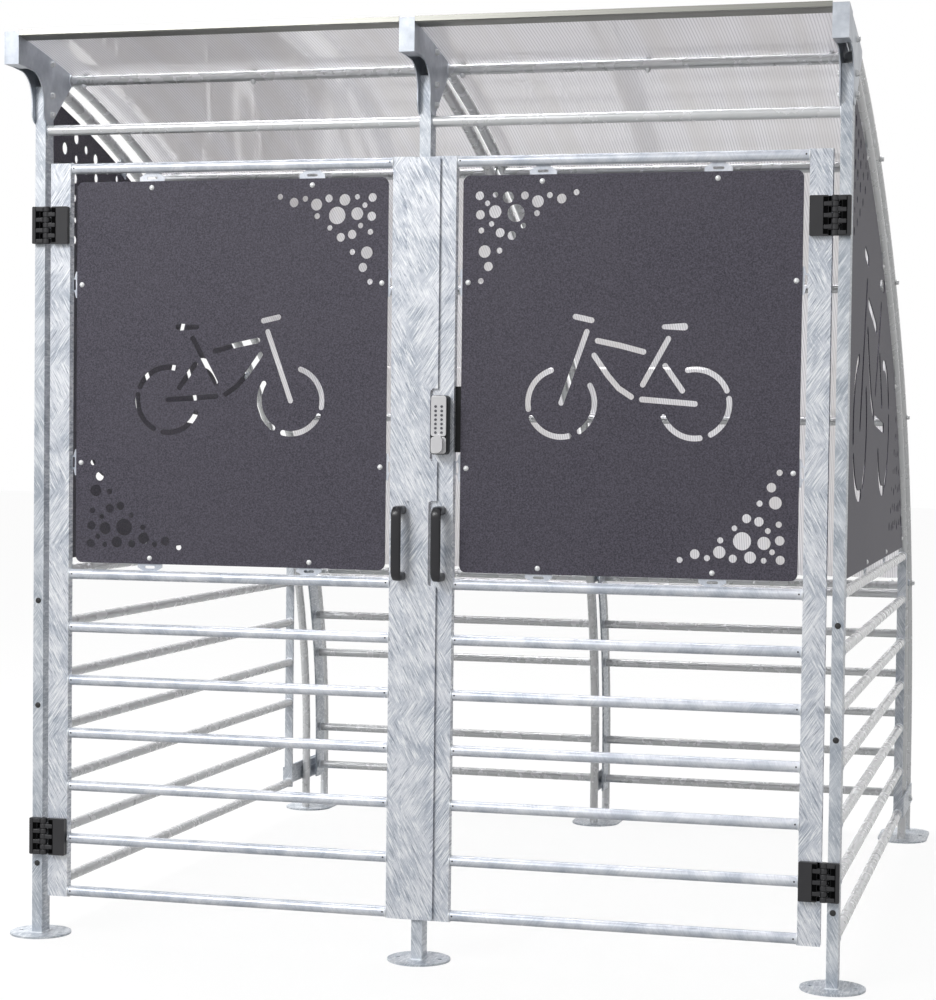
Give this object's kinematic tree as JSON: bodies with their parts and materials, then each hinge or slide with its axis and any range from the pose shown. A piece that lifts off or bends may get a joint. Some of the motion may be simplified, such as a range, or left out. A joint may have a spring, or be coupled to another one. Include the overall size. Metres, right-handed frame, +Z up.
{
  "type": "bike shelter",
  "caption": "Lockable bicycle shelter of galvanised tube with a curved translucent roof, perforated dark panels, open railings and a pair of hinged front doors.",
  "frame": {"origin": "on the ground under the middle of the shelter's bounding box", "axes": "+X to the right as seen from the doors, +Y from the doors to the back, +Z up"},
  "size_m": [2.24, 2.6191, 2.3365],
  "materials": {
    "tube": "hot-dip galvanised tube, satin",
    "flat_steel": "hot-dip galvanised plate and box section, satin",
    "door_steel": "hot-dip galvanised, streaked",
    "bracket": "hot-dip galvanised, dull",
    "roof_sheet": "twin-wall polycarbonate, translucent",
    "roof_edge": "mill aluminium profile",
    "panel": "fine-textured anthracite powder coat",
    "hinge": "black moulded plastic",
    "handle": "black moulded plastic",
    "lock": "satin silver paint",
    "lock_case": "black paint"
  },
  "bodies": {
    "shelter": {"front_post_left": "flat_steel", "front_post_centre": "flat_steel", "front_post_right": "flat_steel", "head_bracket_left": "bracket", "head_bracket_centre": "bracket", "head_bracket_right": "bracket", "rib_outer_left": "tube", "rib_outer_centre": "tube", "rib_outer_right": "tube", "rib_inner_left": "tube", "rib_inner_centre": "tube", "rib_inner_right": "tube", "rib_foot_left": "flat_steel", "rib_foot_centre": "flat_steel", "rib_foot_right": "flat_steel", "header_tubes": "tube", "purlins": "tube", "roof_sheet_left": "roof_sheet", "roof_sheet_right": "roof_sheet", "roof_edges": "roof_edge", "side_rails_left": "tube", "side_rails_right": "tube", "side_upright_left": "flat_steel", "side_upright_right": "flat_steel", "side_panel_left": "panel", "side_panel_right": "panel", "side_tabs_left": "flat_steel", "side_tabs_right": "flat_steel", "rear_rails_left": "tube", "rear_rails_right": "tube", "rear_strips_left": "flat_steel", "rear_strips_right": "flat_steel", "post_hinge_leaves": "hinge"},
    "door_left": {"door_frame_left": "door_steel", "door_panel_left": "panel", "door_hinge_leaves_left": "hinge", "handle_left": "handle"},
    "door_right": {"door_frame_right": "door_steel", "door_panel_right": "panel", "cover_strip": "door_steel", "door_hinge_leaves_right": "hinge", "handle_right": "handle", "lock_body": "lock", "lock_case": "lock_case"},
    "lock_knob": {"lock_knob": "lock"}
  },
  "joints": [
    {"name": "door_right_swing", "type": "hinge", "parent": "shelter", "child": "door_right", "pos_m": [1.018, -1.14442, 1], "axis": [0, 0, 1], "range_deg": [0, 110]},
    {"name": "door_left_swing", "type": "hinge", "parent": "shelter", "child": "door_left", "pos_m": [-1.018, -1.14442, 1], "axis": [0, 0, -1], "range_deg": [0, 110]},
    {"name": "lock_knob_turn", "type": "hinge", "parent": "door_right", "child": "lock_knob", "pos_m": [0.052, -1.17692, 1.3045], "axis": [0, -1, 0], "range_deg": [-90, 90], "stiffness_Nm_per_rad": 0.05}
  ],
  "couplings": [
    {"joint": "door_left_swing", "follows": "door_right_swing", "ratio": 1}
  ]
}
